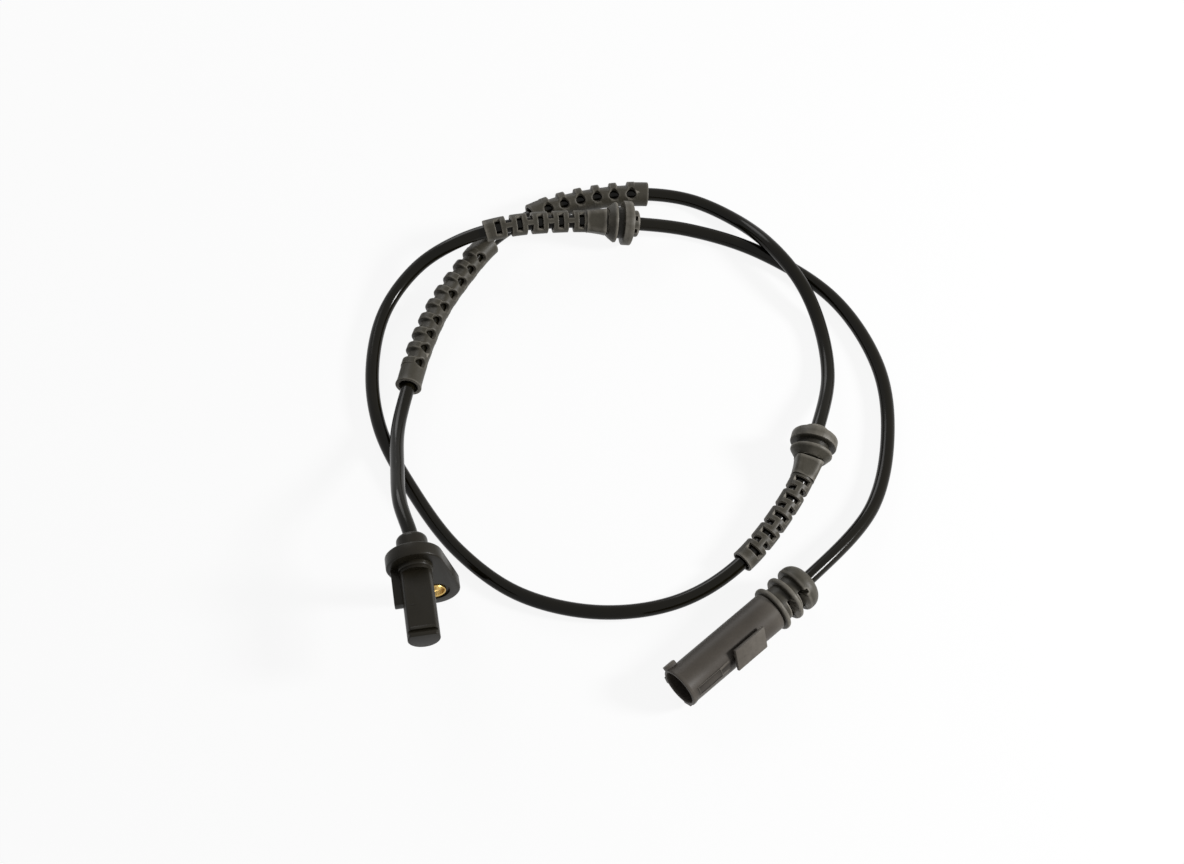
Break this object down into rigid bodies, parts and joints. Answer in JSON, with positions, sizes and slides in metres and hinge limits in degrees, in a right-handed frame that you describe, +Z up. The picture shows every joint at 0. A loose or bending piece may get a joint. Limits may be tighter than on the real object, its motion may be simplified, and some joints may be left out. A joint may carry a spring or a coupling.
{
  "type": "wheel speed sensor",
  "caption": "Active wheel speed sensor: plastic head with bushed mounting ear, cable loop with ribbed sleeves and panel grommets, and a round two-pin plug.",
  "frame": {"origin": "under the middle of the sensor head, on the surface that the end of its ear stands on", "axes": "-Y along the probe towards its tip, +Z up from the surface that the lead lies on"},
  "size_m": [0.1871, 0.2185, 0.0368],
  "materials": {
    "head_plastic": "satin moulded, glass filled",
    "plug_plastic": "satin moulded",
    "inner_plastic": "matte moulded",
    "rubber": "matte moulded",
    "cable_jacket": "smooth, glossy",
    "brass": "turned",
    "tinned_copper": "tin plated",
    "element_black": "moulded package",
    "core_blue": "smooth insulation",
    "core_brown": "smooth insulation"
  },
  "bodies": {
    "root": {"sensor_housing": "head_plastic", "ear_bushing": "brass", "element_carrier": "inner_plastic", "sensing_element": "element_black", "lead_strip_1": "tinned_copper", "lead_strip_2": "tinned_copper", "head_crimp_1": "tinned_copper", "head_crimp_2": "tinned_copper", "head_core_1": "core_blue", "head_core_2": "core_brown", "cable": "cable_jacket", "head_ribbed_sleeve": "rubber", "middle_ribbed_sleeve": "rubber", "middle_grommet": "rubber", "plug_grommet": "rubber", "plug_boot": "rubber", "plug_housing": "plug_plastic", "terminal_holder": "inner_plastic", "contact_pin_1": "tinned_copper", "contact_pin_2": "tinned_copper", "plug_crimp_1": "tinned_copper", "plug_crimp_2": "tinned_copper", "plug_core_1": "core_blue", "plug_core_2": "core_brown"}
  },
  "joints": []
}
